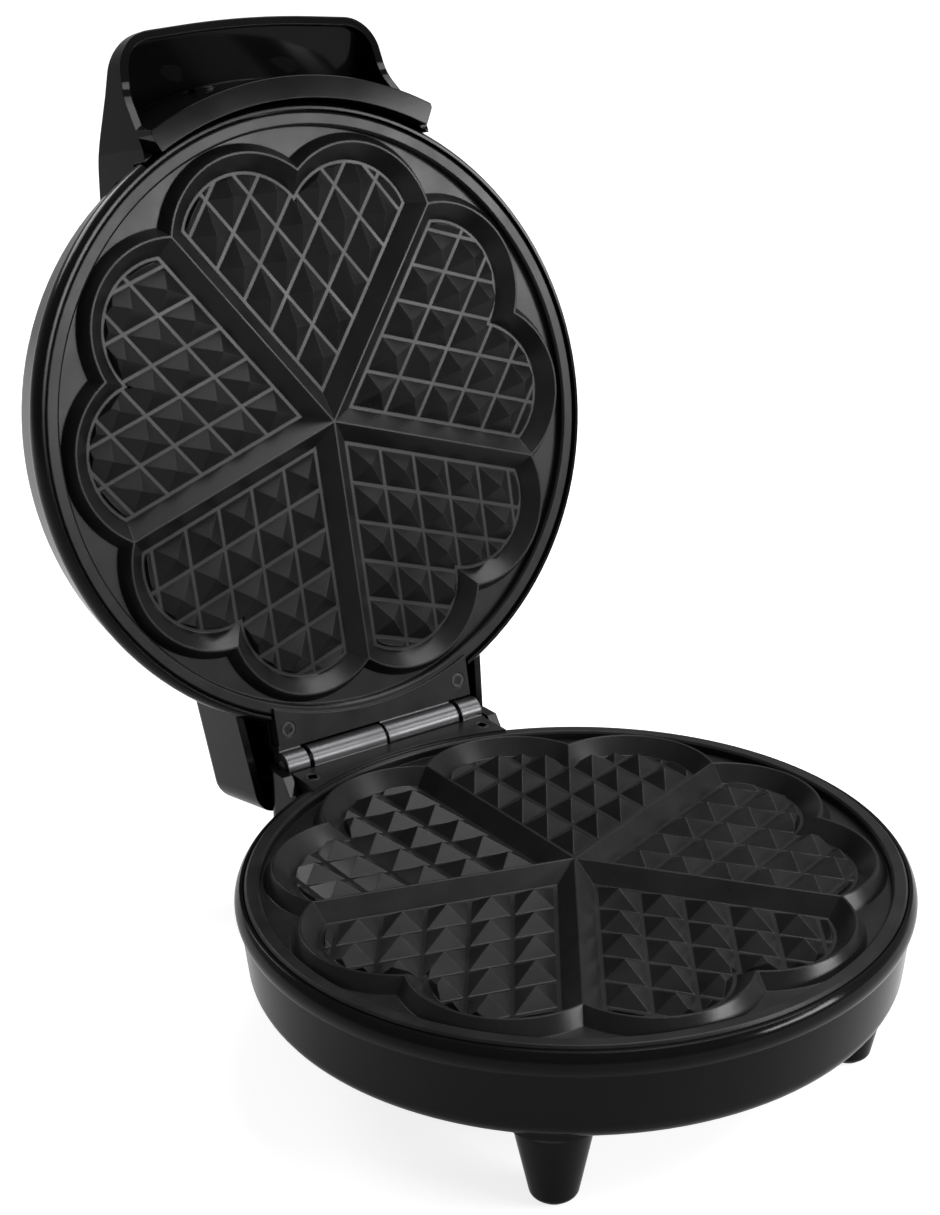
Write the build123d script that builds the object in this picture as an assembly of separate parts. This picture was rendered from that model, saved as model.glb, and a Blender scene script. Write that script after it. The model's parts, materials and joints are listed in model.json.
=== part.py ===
from build123d import *
from math import atan2, ceil, cos, degrees, hypot, radians, sin, sqrt, tan
import os

# Round waffle maker with five heart moulds, standing with its lid open
# Millimetres, +Z up, the handle side faces -Y, the hinge is at +Y
# Shapes are drawn round the plates' centre, with heights from the plane where the closed plates meet
# The last lines move the open maker so that the origin is on the ground in the middle of its footprint

# Overall
meet_height = 58.0
open_angle = 101.0
plate_gap = 0.3
running_gap = 0.3
seat_gap = 0.2
slip = 0.05

# Grid plate casting, depths measured down from its crests
plate_radius = 97.0
lip_width = 4.5
lip_depth = 1.4
flange_depth = 4.5
mould_depth = 5.0
plate_back = 8.5
crest_width = 0.6
crest_outer_slope = 0.6
heart_count = 5
heart_side = 79.0
heart_cusp = 79.3
lobe_radius = 28.6
pyramid_pitch = 12.4
pyramid_height = 4.0
valley_width = 1.2
field_draft = 0.3

# Hinge
hinge_y = plate_radius + 9.5
knuckle_radius = 4.8
pin_diameter = 4.0
leaf_half_width = 37.5
leaf_depth = 0.3
long_knuckle = (0.5, 28.5)
short_knuckle = (30.0, 38.0)
leaf_screw_x = 33.3
leaf_front = plate_radius - 14.5
leaf_screw_y = plate_radius - 2.0
leaf_screw = 3.0
leaf_screw_head = 5.2
leaf_screw_length = 11.0

# Plate fixings on the back of the casting
boss_angles = (0, 72, 144, -144, -72)
boss_radius = plate_radius - 21.0
boss_diameter = 9.0
boss_bore = 3.3
boss_depth = 16.0
hook_width = 24.0
hook_reach = plate_radius - 2.4
hook_depth = 15.0

# Heating element and what holds it
element_radius = 55.0
element_tube = 6.0
element_open_angle = 44.0
element_bend = 5.5
clamp_width = 10.0
clamp_sheet = 1.0
clamp_foot = 8.0
clamp_angles = (0, 110, -110)
clamp_screw = 2.5
clamp_screw_head = 4.6
clamp_screw_grip = 2.4
reflector_radius = plate_radius - 13.0
reflector_sheet = 0.8
reflector_rim = 5.0
plate_screw = 3.2
plate_screw_head = 6.5
plate_screw_length = 7.0
insulator_length = 3.0
insulator_diameter = 6.6
terminal_pin_diameter = 2.4
terminal_pin_length = 4.0
thermostat_depth = 20.5
thermostat_head = 18.0
thermostat_head_height = 7.0
thermostat_neck = 14.0
thermostat_flange = 34.0
thermostat_flange_width = 10.0
thermostat_flange_sheet = 1.0
thermostat_screw_x = 13.0
thermostat_tab_y = 13.0
thermostat_window = 30.0
earth_way = 26.0
earth_tab_y = 62.0
earth_tab_width = 6.3
earth_tab_length = 6.5
lead_diameter = 2.4
sleeve_diameter = 4.2
lead_straight = 14.0

# Rim that both housings share
rim_radius = plate_radius + 3.0
rim_clearance = 0.4
rim_step = 1.2
wall = 2.5
ledge_width = 4.9

# Base housing
base_rim_edge = 2.4
base_band = 9.4
base_bottom = 31.1
base_bottom_radius = rim_radius - 3.2
base_corner = 6.0
block_half_width = 42.0
block_front = plate_radius - 19.4
block_rear = hinge_y + 5.8
block_corner = 7.0
ear_thickness = 3.6
ear_front = hinge_y - 7.4
ear_slope = 4.0
well_depth = 5.6
leaf_seat_thickness = 7.4
front_leg_angle = 41.4
front_leg_circle = rim_radius - 17.4
rear_leg_x = 28.0
rear_leg_y = hinge_y - 11.0
leg_root = 11.2
leg_tip = 6.5
leg_flare = 3.0
leg_rounding = 2.6
pad_diameter = 9.5
pad_thickness = 2.0
pad_recess = 1.2
gland_y = hinge_y - 6.0
gland_neck = 11.0
gland_bore = 7.0
terminal_block_y = plate_radius - 26.0
terminal_block_depth = 14.0
terminal_block_height = 8.0
terminal_half = 31.0
terminal_recess = 4.0

# Lid housing
lid_rim_edge = 0.7
lid_band = 8.5
dome_draft = 10.0
dome_shoulder = 21.0
dome_shoulder_radius = 11.0
crown_slope = 6.5
box_half_width = block_half_width + 2.8
box_flare = 0.09
box_front = plate_radius - 37.0
box_rear = hinge_y + 16.8
box_lower_edge = 7.0
box_top = 39.5
box_rise = 1.5
box_corner = 8.5
box_edge = 4.5

# Lamps and fuse
lamp_y = -50.0
lamp_pitch = 18.0
lens_diameter = 7.0
lens_flange = 9.5
neon_diameter = 5.0
neon_length = 5.5
holder_peg = 5.0
holder_peg_x = 20.0
holder_top = 27.0
holder_height = 8.0
holder_depth = 14.0
fuse_diameter = 4.0
fuse_length = 18.0
fuse_y = 12.0

# Handle
handle_wall = 2.6
handle_root_y = 34.0 - rim_radius
handle_root_half = 53.4
handle_rear_corner = 8.0
handle_side_y = 10.0 - rim_radius
handle_side_half = 50.4
handle_neck_y = -8.0 - rim_radius
handle_neck_half = 47.2
handle_tip_y = -28.1 - rim_radius
handle_tip_bow = 3.4
handle_tip_half = 44.9
handle_tip_corner = 12.5
handle_top = 34.9
handle_break_y = 9.0 - rim_radius
handle_tip_top = 21.5
handle_tip_bottom = 17.9
handle_lip_bottom = 16.1
handle_skirt = 0.9
guard_angle = 28.0
guard_inner = rim_radius + 0.3
guard_outer = guard_inner + 6.8
guard_drop = 4.5
guard_lean = 2.6
handle_screw = 3.2
handle_screw_head = 6.5
handle_screw_seat = 9.5 - rim_radius
handle_screw_x = 20.0
handle_screw_z = 16.5

half_sector = 180 / heart_count
crest_half = crest_width / 2
plate_offset = plate_gap / 2
recess_radius = plate_radius + rim_clearance
ledge_radius = recess_radius - ledge_width
ledge_z = plate_back + plate_offset
leaf_seat_z = flange_depth + plate_offset
wall_top_radius = rim_radius - rim_step


def in_base(shape):
    """Put a shape that is drawn from the meeting plane into the base."""
    return Pos(0, 0, meet_height) * shape


def in_lid(shape):
    """Put a shape that is drawn in the closed lid into the open lid."""
    swing = Pos(0, hinge_y, meet_height) * Rot(-open_angle, 0, 0) * Pos(0, -hinge_y, 0)
    return swing * shape


def lower(shape):
    """Place a shape of the heated plate, drawn from its crests, in the base."""
    return in_base(Pos(0, 0, -plate_offset) * shape)


def upper(shape):
    """Place the same shape in the lid, turned over about the Y axis."""
    return in_lid(Pos(0, 0, plate_offset) * Rot(0, 180, 0) * shape)


def group(shapes):
    """Hold separate solids together in one sub-part."""
    solids = []
    for shape in shapes:
        solids.extend(shape.solids())
    return Compound(children=solids)


def radial(angle, distance, z=0):
    """A point at an angle from the front, turning towards +X."""
    a = radians(angle)
    return (distance * sin(a), -distance * cos(a), z)


def rod(diameter, start, end):
    """A round bar from one height to another on the Z axis."""
    return Pos(0, 0, (start + end) / 2) * Cylinder(diameter / 2, abs(end - start))


def along_x(diameter, start, end):
    """A round bar from one place to another on the X axis."""
    return Pos((start + end) / 2, 0, 0) * Rot(0, 90, 0) * Cylinder(diameter / 2, abs(end - start))


def along_y(diameter, start, end):
    """A round bar from one place to another on the Y axis."""
    return Pos(0, (start + end) / 2, 0) * Rot(90, 0, 0) * Cylinder(diameter / 2, abs(end - start))


def block(x, y, z):
    """A box given by its ranges along X, Y and Z."""
    centre = Pos((x[0] + x[1]) / 2, (y[0] + y[1]) / 2, (z[0] + z[1]) / 2)
    return centre * Box(x[1] - x[0], y[1] - y[0], z[1] - z[0])


def spin(points_face):
    """Turn a face drawn in the XZ plane once round the Z axis."""
    return revolve(points_face, axis=Axis.Z, revolution_arc=360)


def outline_xz(lines):
    """A face in the XZ plane from lines drawn as X and Z."""
    edges = []
    for line in lines:
        edges.extend(line.edges())
    return Plane.XZ * make_face(edges)


# Heart moulds

def lobe_centre():
    """The centre of the lobe arc that joins the heart's cusp to its outer corner."""
    corner = (heart_side * cos(radians(half_sector)), heart_side * sin(radians(half_sector)))
    chord = hypot(heart_cusp - corner[0], corner[1])
    rise = sqrt(lobe_radius**2 - (chord / 2) ** 2)
    along = ((heart_cusp - corner[0]) / chord, -corner[1] / chord)
    middle = ((heart_cusp + corner[0]) / 2, corner[1] / 2)
    return (middle[0] + along[1] * rise, middle[1] - along[0] * rise)


def lobe_arc(start, end, radius):
    """The part of a lobe's circle between two of its points, bulging outwards."""
    cx, cy = lobe_centre()
    a0 = atan2(start[1] - cy, start[0] - cx)
    a1 = atan2(end[1] - cy, end[0] - cx)
    a = (a0 + a1) / 2
    return ThreePointArc(start, (cx + radius * cos(a), cy + radius * sin(a)), end)


def heart(inset):
    """One heart's outline, its point at the centre and its lobes towards +X, shrunk by an inset."""
    cx, cy = lobe_centre()
    a = radians(half_sector)
    radius = lobe_radius - inset
    point = (inset / sin(a), 0)
    offset = cx * sin(a) - cy * cos(a) - inset
    foot = (cx - point[0]) * cos(a) + cy * sin(a)
    reach = foot + sqrt(radius**2 - offset**2)
    corner = (point[0] + reach * cos(a), reach * sin(a))
    cusp = (cx + sqrt(radius**2 - cy**2), 0)
    side = Line(point, corner)
    lobe = lobe_arc(corner, cusp, radius)
    return make_face([side, lobe, mirror(lobe, Plane.XZ), mirror(side, Plane.XZ)])


def flower(outset):
    """The outline round all the hearts, grown by an outset."""
    cx, cy = lobe_centre()
    a = radians(half_sector)
    radius = lobe_radius + outset
    offset = cx * sin(a) - cy * cos(a)
    reach = cx * cos(a) + cy * sin(a) + sqrt(radius**2 - offset**2)
    notch = (reach * cos(a), reach * sin(a))
    cusp = (cx + sqrt(radius**2 - cy**2), 0)
    lobe = lobe_arc(notch, cusp, radius)
    edges = []
    for k in range(heart_count):
        turn = Rot(0, 0, -90 + 360 / heart_count * k)
        edges.append(turn * lobe)
        edges.append(turn * mirror(lobe, Plane.XZ))
    return make_face(edges)


def pyramid_rows():
    """Long roofs that run along one straight side of a heart, one pitch apart."""
    a = radians(half_sector)
    across = Vector(sin(a), -cos(a), 0)
    along = Vector(cos(a), sin(a), 0)
    first = mould_depth + crest_half
    width = pyramid_pitch - valley_width
    rows = ceil((heart_cusp * 2 * sin(a)) / pyramid_pitch)
    section = []
    for k in range(rows):
        s = first + valley_width + k * pyramid_pitch
        roof = Polyline(
            (s, -mould_depth - 1),
            (s, -mould_depth),
            (s + width / 2, -mould_depth + pyramid_height),
            (s + width, -mould_depth),
            (s + width, -mould_depth - 1),
            close=True,
        )
        section.append(make_face(roof))
    plane = Plane(origin=along * (-heart_cusp), x_dir=across, z_dir=-along)
    return [extrude(plane * face, amount=-3 * heart_cusp) for face in section]


def pyramid_field():
    """The steep-sided island to which one heart's pyramids are cut, one valley short of the wall."""
    foot = crest_half + mould_depth + valley_width - 0.1
    rise = pyramid_height + 1
    low = Pos(0, 0, -mould_depth - 1) * heart(foot - field_draft)
    high = Pos(0, 0, -mould_depth + rise) * heart(foot + field_draft * rise)
    return loft([low, high], ruled=True)


def mould_cutter():
    """What is taken out of the casting for one heart: its tapered well, less the pyramids on its floor."""
    top = Pos(0, 0, 1) * heart(crest_half - 1)
    floor = Pos(0, 0, -mould_depth) * heart(crest_half + mould_depth)
    well = loft([top, floor], ruled=True)
    rows = pyramid_rows()
    roofs = Part() + rows
    crossing = Part() + [mirror(row, Plane.XZ) for row in rows]
    return well - (roofs & crossing & pyramid_field())


def knuckles(x_ranges):
    """Hinge barrels of one casting, with the web that joins them to their leaf."""
    solid = Part()
    for x0, x1 in x_ranges:
        barrel = along_x(2 * knuckle_radius, x0, x1)
        web = block((x0, x1), (hinge_y - knuckle_radius - 2, hinge_y), (-flange_depth, -leaf_depth))
        solid += Pos(0, hinge_y, plate_offset) * barrel + web
    return solid


def countersunk(diameter, head, length):
    """A countersunk screw or its hole, its head level with the XY plane."""
    depth = (head - diameter) / 2
    cone = Pos(0, 0, -depth / 2) * Cone(diameter / 2, head / 2, depth)
    return cone + rod(diameter, 0, -length)


def grid_plate():
    """The cast plate: five moulds, a raised lip, a hinge leaf with its barrels, bosses and a front hook."""
    body = rod(2 * plate_radius, -plate_back, -flange_depth)
    ring = rod(2 * plate_radius, -plate_back, -lip_depth)
    ring -= rod(2 * (plate_radius - lip_width), -plate_back - 1, 0)
    ring = chamfer(ring.edges().filter_by(GeomType.CIRCLE).group_by(Axis.Z)[-1], 0.7)
    foot_depth = flange_depth + 1
    foot = Pos(0, 0, -foot_depth) * flower(crest_half + foot_depth * crest_outer_slope)
    ridge = loft([foot, flower(crest_half)], ruled=True)
    leaf = block(
        (-leaf_half_width, leaf_half_width),
        (leaf_front, leaf_end()),
        (-flange_depth, -leaf_depth),
    )
    leaf -= rod(2 * (plate_radius - lip_width / 2), -plate_back, 0)
    plate = body + ring + ridge + leaf
    plate += knuckles([(-long_knuckle[1], -long_knuckle[0]), short_knuckle])
    cutter = mould_cutter()
    for k in range(heart_count):
        plate -= Rot(0, 0, -90 + 360 / heart_count * k) * cutter
    for angle in boss_angles:
        boss = rod(boss_diameter, -boss_depth, -plate_back + 0.5)
        boss -= rod(boss_bore, -boss_depth - 1, -plate_back)
        plate += Pos(radial(angle, boss_radius)) * boss
    plate += front_hook()
    bore = along_x(pin_diameter + 2 * slip, -2 * leaf_half_width, 2 * leaf_half_width)
    plate -= Pos(0, hinge_y, plate_offset) * bore
    for x in (-leaf_screw_x, leaf_screw_x):
        hole = countersunk(leaf_screw + 0.3, leaf_screw_head + 0.2, flange_depth + 1)
        plate -= Pos(x, leaf_screw_y, -leaf_depth) * hole
    pilot = rod(clamp_screw + 2 * slip, -plate_back - 1, -plate_back + clamp_screw_grip + 0.2)
    for angle in clamp_angles:
        for side in (-1, 1):
            plate -= Rot(0, 0, angle - 90) * Pos(element_radius + side * clamp_foot, 0, 0) * pilot
    for x in (-thermostat_screw_x, thermostat_screw_x):
        plate -= Pos(x, 0, 0) * pilot
    return plate


def front_hook():
    """The lug that catches under the housing's ledge at the front."""
    stem_inner = ledge_radius - 6.5
    stem_outer = ledge_radius - 0.5
    nose_top = plate_back + wall + running_gap
    profile = Polyline(
        (stem_inner, -plate_back + 0.5),
        (stem_inner, -hook_depth),
        (hook_reach, -hook_depth),
        (hook_reach, -nose_top),
        (stem_outer, -nose_top),
        (stem_outer, -plate_back + 0.5),
        close=True,
    )
    sweep_angle = degrees(hook_width / ledge_radius)
    lug = revolve(Plane.XZ * make_face(profile), axis=Axis.Z, revolution_arc=sweep_angle)
    return Rot(0, 0, -90 - sweep_angle / 2) * lug


# Heated plate assembly, the same in the base and in the lid

def element_height():
    """The height of the heating tube's centre line under the plate."""
    return -plate_back - seat_gap - element_tube / 2


def element_ends():
    """The two ends of the horseshoe, each with the direction in which the tube leaves."""
    ends = []
    for side in (-1, 1):
        a = radians(90 + side * element_open_angle / 2)
        end = Vector(element_radius * cos(a), element_radius * sin(a), element_height())
        ends.append((end, Vector(side * sin(a), -side * cos(a), 0)))
    return ends


def terminal_places():
    """Where the turned-down ends of the element finish."""
    down = Vector(0, 0, -element_bend)
    return [end + away * element_bend + down for end, away in element_ends()]


def heating_element():
    """A tube bent to a horseshoe, both ends turned down away from the plate."""
    arc = 360 - element_open_angle
    ring = Torus(element_radius, element_tube / 2, major_angle=arc, align=None)
    tube = Pos(0, 0, element_height()) * Rot(0, 0, 90 + element_open_angle / 2) * ring
    up = Vector(0, 0, 1)
    for end, away in element_ends():
        corner = Plane(origin=end - up * element_bend, x_dir=away, z_dir=away.cross(up))
        tube += corner * Torus(element_bend, element_tube / 2, major_angle=90, align=None)
    return tube


def element_insulators():
    """A bead at each end of the tube, round its terminal pin."""
    beads = []
    for place in terminal_places():
        bead = rod(insulator_diameter, 0, -insulator_length)
        bead -= rod(terminal_pin_diameter, 1, -insulator_length - 1)
        beads.append(Pos(place) * bead)
    return group(beads)


def element_pins():
    """The terminal pins that come out of the element's two ends."""
    length = insulator_length + terminal_pin_length
    return group([Pos(place) * rod(terminal_pin_diameter, 0, -length) for place in terminal_places()])


def clamp_section():
    """A strap's section across the tube: an arch with a foot at each side."""
    inner = element_tube / 2 + slip
    outer = inner + clamp_sheet
    z = element_height()
    top = -plate_back
    arch = Pos(element_radius, z) * Circle(outer)
    arch += Pos(element_radius, (z + top) / 2) * Rectangle(2 * outer, top - z)
    foot_width = 2 * (clamp_foot + clamp_screw_head / 2 + 0.5)
    arch += Pos(element_radius, top - clamp_sheet / 2) * Rectangle(foot_width, clamp_sheet)
    arch -= Pos(element_radius, z) * Circle(inner)
    arch -= Pos(element_radius, (z + top) / 2 + 1) * Rectangle(2 * inner, top - z + 2)
    return arch


def element_clamps():
    """Sheet straps, curved along with the tube, that hold it against the plate."""
    hole = rod(clamp_screw + 0.3, -plate_back + 1, -plate_back - clamp_sheet - 1)
    arc = degrees(clamp_width / element_radius)
    strap = revolve(Plane.XZ * clamp_section(), axis=Axis.Z, revolution_arc=arc)
    strap = Rot(0, 0, -arc / 2) * strap
    for side in (-1, 1):
        strap -= Pos(element_radius + side * clamp_foot, 0, 0) * hole
    return group([Rot(0, 0, angle - 90) * strap for angle in clamp_angles])


def pan_screw(diameter, head, head_height, length):
    """A screw that points up, its head below the XY plane."""
    return rod(diameter, 0, length) + rod(head, 0, -head_height)


def clamp_screws():
    """Two short screws in each strap."""
    screw = pan_screw(clamp_screw, clamp_screw_head, 1.4, clamp_sheet + clamp_screw_grip)
    seat = -plate_back - clamp_sheet
    screws = []
    for angle in clamp_angles:
        for side in (-1, 1):
            screws.append(Rot(0, 0, angle - 90) * Pos(element_radius + side * clamp_foot, 0, seat) * screw)
    return group(screws)


def reflector():
    """A shallow sheet pan that stands on the plate's bosses and sends heat back to it."""
    z0 = -boss_depth
    pan = rod(2 * reflector_radius, z0 + reflector_rim, z0 - reflector_sheet)
    pan -= rod(2 * (reflector_radius - reflector_sheet), z0 + reflector_rim + 1, z0)
    pan -= rod(thermostat_window, z0 + 1, z0 - reflector_sheet - 1)
    for angle in boss_angles:
        pan -= Pos(radial(angle, boss_radius)) * rod(plate_screw + 0.4, z0 + 1, z0 - reflector_sheet - 1)
    for place in terminal_places():
        pan -= Pos(place.X, place.Y, 0) * rod(insulator_diameter + 3, z0 + 1, z0 - reflector_sheet - 1)
    return pan + earth_tab(0)


def earth_tab_bottom():
    """The height of the earth tab's lower end."""
    return -boss_depth - reflector_sheet - earth_tab_length


def earth_tab(clearance):
    """The tab of the pan that takes the earth lead, grown by a clearance."""
    half = earth_tab_width / 2 + clearance
    thick = reflector_sheet / 2 + clearance
    x = (earth_way - half, earth_way + half)
    y = (earth_tab_y - thick, earth_tab_y + thick)
    return block(x, y, (earth_tab_bottom() - clearance, -boss_depth - reflector_sheet / 2))


def reflector_screws():
    """One screw through the pan into each boss of the plate."""
    screw = pan_screw(plate_screw, plate_screw_head, 2, plate_screw_length)
    seat = -boss_depth - reflector_sheet
    return group([Pos(radial(angle, boss_radius, seat)) * screw for angle in boss_angles])


def leaf_screws():
    """Two countersunk screws that hold the hinge leaf to its housing."""
    screw = countersunk(leaf_screw, leaf_screw_head, leaf_screw_length)
    return group([Pos(x, leaf_screw_y, -leaf_depth) * screw for x in (-leaf_screw_x, leaf_screw_x)])


def thermostat():
    """A snap disc thermostat with a two-hole flange and two spade tabs."""
    body = rod(thermostat_head, -plate_back, -plate_back - thermostat_head_height)
    body += rod(thermostat_neck, -plate_back - thermostat_head_height + 1, -thermostat_depth)
    x = thermostat_flange / 2
    y = thermostat_flange_width / 2
    flange = block((-x, x), (-y, y), (-plate_back - thermostat_flange_sheet, -plate_back))
    for x in (-thermostat_screw_x, thermostat_screw_x):
        flange -= Pos(x, 0, 0) * rod(clamp_screw + 0.3, -plate_back + 1, -plate_back - 2)
    z = thermostat_tab_height()
    tabs = block((-3.2, 3.2), (-thermostat_tab_y, thermostat_tab_y), (z - 0.4, z + 0.4))
    return body + flange + tabs


def thermostat_tab_height():
    """The height of the middle of the thermostat's tabs."""
    return -thermostat_depth + 1.6


def thermostat_screws():
    """The two screws of the thermostat's flange."""
    screw = pan_screw(clamp_screw, clamp_screw_head, 1.4, thermostat_flange_sheet + clamp_screw_grip)
    seat = -plate_back - thermostat_flange_sheet
    return group([Pos(x, 0, seat) * screw for x in (-thermostat_screw_x, thermostat_screw_x)])


# Base housing

def wall_slope():
    """How much the bowl's radius grows for each millimetre of height."""
    return (wall_top_radius - base_bottom_radius) / (base_bottom - base_band)


def bowl_outside():
    """The bowl as a solid: flat bottom, drafted wall and a rounded rim band."""
    low = -base_bottom
    corner = (base_bottom_radius, low)
    side = FilletPolyline((0, low), corner, (wall_top_radius, -base_band), radius=base_corner)
    step = Line((wall_top_radius, -base_band), (wall_top_radius + 0.6, -base_band + 0.4))
    middle = -(base_rim_edge + base_band) / 2
    band = ThreePointArc(step @ 1, (rim_radius, middle), (rim_radius - 1.6, -base_rim_edge))
    top = Line(band @ 1, (0, -base_rim_edge))
    return spin(outline_xz([side, step, band, top, Line(top @ 1, (0, low))]))


def bowl_inside():
    """The hollow under the plate."""
    low = -base_bottom + wall
    high = -ledge_z - wall
    radius = base_bottom_radius - wall
    side = FilletPolyline(
        (0, low),
        (radius + wall * wall_slope(), low),
        (radius + (base_bottom + high) * wall_slope(), high),
        radius=base_corner - wall,
    )
    hollow = spin(outline_xz([side, Line(side @ 1, (0, high)), Line((0, high), (0, low))]))
    return hollow + rod(2 * ledge_radius, high - 1, 0)


def leg_outside():
    """One tapered leg about its own axis, flared into the bowl and rounded at the foot."""
    top = -base_band - wall
    root = -base_bottom
    tip = leg_end()
    flare = leg_flare * (1 - sqrt(0.5))
    outer = Polyline((0, top), (leg_root + leg_flare, top), (leg_root + leg_flare, root))
    fillet_arc = ThreePointArc(
        (leg_root + leg_flare, root),
        (leg_root + flare, root - flare),
        (leg_root, root - leg_flare),
    )
    side = FilletPolyline((leg_root, root - leg_flare), (leg_tip, tip), (0, tip), radius=leg_rounding)
    return spin(outline_xz([outer, fillet_arc, side, Line((0, tip), (0, top))]))


def leg_end():
    """The height of a leg's lower end, above its rubber pad."""
    return -meet_height + pad_thickness - pad_recess


def leg_inside():
    """The tapered bore that makes a leg hollow, open to the bowl."""
    top = -base_bottom + wall + 1
    low = leg_end() + pad_recess + wall
    bore = Cone(leg_tip - wall, leg_root - wall, top - low)
    return Pos(0, 0, (top + low) / 2) * bore


def leg_places():
    """The four legs' axes: two under the front of the bowl, two under the hinge block."""
    front_legs = [radial(side * front_leg_angle, front_leg_circle) for side in (-1, 1)]
    return front_legs + [(side * rear_leg_x, rear_leg_y) for side in (-1, 1)]


def leaf_end():
    """How far back the hinge leaf reaches, short of the other leaf's barrels."""
    return hinge_y - knuckle_radius - 0.6


def rear_block_outside():
    """The block behind the bowl with its two ears beside the hinge."""
    low = -base_bottom
    profile = Polyline(
        (block_front, low),
        (block_rear, low),
        (block_rear, 0),
        (ear_front, 0),
        (ear_front - ear_slope, -well_depth),
        (block_front, -well_depth),
        close=True,
    )
    solid = extrude(Plane.YZ * make_face(profile), amount=block_half_width, both=True)
    solid = fillet(solid.edges().filter_by(Axis.Z).group_by(Axis.Y)[-1], block_corner)
    return fillet(solid.edges().group_by(Axis.Z)[0].sort_by(Axis.Y)[1:], wall)


def hinge_well():
    """The open space for the barrels between the ears, and the seat for the leaf in front of it."""
    inner = block_half_width - ear_thickness
    seat = block((-inner, inner), (block_front, leaf_end() + 0.4), (-leaf_seat_z, 10))
    well = block((-inner, inner), (leaf_end() + 0.4, block_rear + 1), (-well_depth, 10))
    return seat + well


def leaf_screw_holes(z0, z1):
    """The pilot holes of the leaf's two screws."""
    hole = rod(leaf_screw + 2 * slip, z0, z1)
    return Part() + [Pos(x, leaf_screw_y, 0) * hole for x in (-leaf_screw_x, leaf_screw_x)]


def base_housing():
    """The lower housing: bowl, rim, ledge for the plate, legs and the hinge block, moulded as one shell."""
    shell = bowl_outside() + rear_block_outside()
    leg_room = rod(2 * (base_bottom_radius - 1), -meet_height, 0)
    legs = [Pos(place) * leg_outside() for place in leg_places()]
    shell += [leg & leg_room for leg in legs[:2]] + legs[2:]
    shell -= bowl_inside()
    shell -= [Pos(place) * leg_inside() for place in leg_places()]
    shell -= block(
        (-block_half_width + wall, block_half_width - wall),
        (ledge_radius - wall, block_rear - wall),
        (-base_bottom + wall, -leaf_seat_z - leaf_seat_thickness),
    )
    shell -= rod(2 * recess_radius, -ledge_z, 10)
    shell -= hinge_well()
    shell -= leaf_screw_holes(-leaf_seat_z + 1, -leaf_seat_z - leaf_seat_thickness - 1)
    shell -= Pos(0, gland_y, 0) * rod(gland_neck, -base_bottom - 1, -base_bottom + wall + 1)
    pad_hole = rod(pad_diameter + 0.1, leg_end() - 1, leg_end() + pad_recess)
    shell -= [Pos(place) * pad_hole for place in leg_places()]
    return shell


def foot_pads():
    """A rubber pad under each leg."""
    pad = rod(pad_diameter, -meet_height, -meet_height + pad_thickness)
    pad = chamfer(pad.edges().group_by(Axis.Z)[0], 0.4)
    return group([Pos(place) * pad for place in leg_places()])


def hinge_pin():
    """The steel pin through all the barrels, kept in by the ears."""
    return Pos(0, hinge_y, 0) * along_x(pin_diameter, -short_knuckle[1], short_knuckle[1])


def cord_gland():
    """The grommet in the floor where the supply cord would pass."""
    low = -base_bottom
    grommet = rod(gland_neck - 0.1, low, low + wall)
    grommet += rod(gland_neck + 3, low - 1.5, low) + rod(gland_neck + 3, low + wall, low + wall + 1.5)
    grommet -= rod(gland_bore, low - 3, low + wall + 3)
    return Pos(0, gland_y, 0) * grommet


def terminal_block():
    """A three-way block on the floor, with a screw recess over each way."""
    low = -base_bottom + wall
    high = low + terminal_block_height
    rear = terminal_block_y + terminal_block_depth
    body = block((-terminal_half, terminal_half), (terminal_block_y, rear), (low, high))
    for x in terminal_ways():
        body -= Pos(x, rear - terminal_block_depth / 2, 0) * rod(terminal_recess, high - 2, high + 1)
    return body


def terminal_ways():
    """The block's three ways, two in line with the element's pins and one for earth."""
    places = terminal_places()
    return [places[0].X, places[1].X, earth_way]


def lead(points, radius=0):
    """A round insulated lead along a route with rounded corners."""
    path = FilletPolyline(*points, radius=radius) if len(points) > 2 else Line(*points)
    start = Plane(origin=path @ 0, z_dir=path % 0)
    return sweep(start * Circle(lead_diameter / 2), path=path)


def pin_sleeve(place):
    """The crimped sleeve that joins a lead to a terminal pin."""
    top = place.Z - plate_offset - insulator_length - 0.4
    sleeve = rod(sleeve_diameter, top, top - terminal_pin_length + 1)
    sleeve -= rod(terminal_pin_diameter + 2 * slip, top + 1, top - terminal_pin_length)
    return Pos(place.X, place.Y, 0) * sleeve


def lead_height():
    """The height at which leads meet their pin sleeves."""
    place = terminal_places()[0]
    return place.Z - plate_offset - insulator_length - 0.4 - (terminal_pin_length - 1) / 2


def base_power_lead(index):
    """A straight lead from the terminal block to one of the element's pins."""
    place = terminal_places()[index]
    start = (place.X, terminal_block_y, lead_height())
    end = (place.X, place.Y + sleeve_diameter / 2 - 0.3, lead_height())
    return lead([start, end]) + pin_sleeve(place)


def base_earth_lead():
    """The earth lead from the block to a receptacle on the reflector's tab."""
    low = earth_tab_bottom() - plate_offset - 0.6
    receptacle = block(
        (earth_way - earth_tab_width / 2 - 0.7, earth_way + earth_tab_width / 2 + 0.7),
        (earth_tab_y - 1.3, earth_tab_y + 1.3),
        (low, low + earth_tab_length - 1),
    )
    receptacle -= Pos(0, 0, -plate_offset) * earth_tab(slip)
    start = (earth_way, terminal_block_y, lead_height())
    return lead([start, (earth_way, earth_tab_y + 1, lead_height())]) + receptacle


# Lid housing

def dome_points(inset):
    """Where the dome's drafted wall meets its shoulder, moved in by an inset."""
    d = radians(dome_draft)
    r = wall_top_radius - (dome_shoulder - lid_band) * tan(d)
    return (r - inset * cos(d), dome_shoulder - inset * sin(d))


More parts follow.
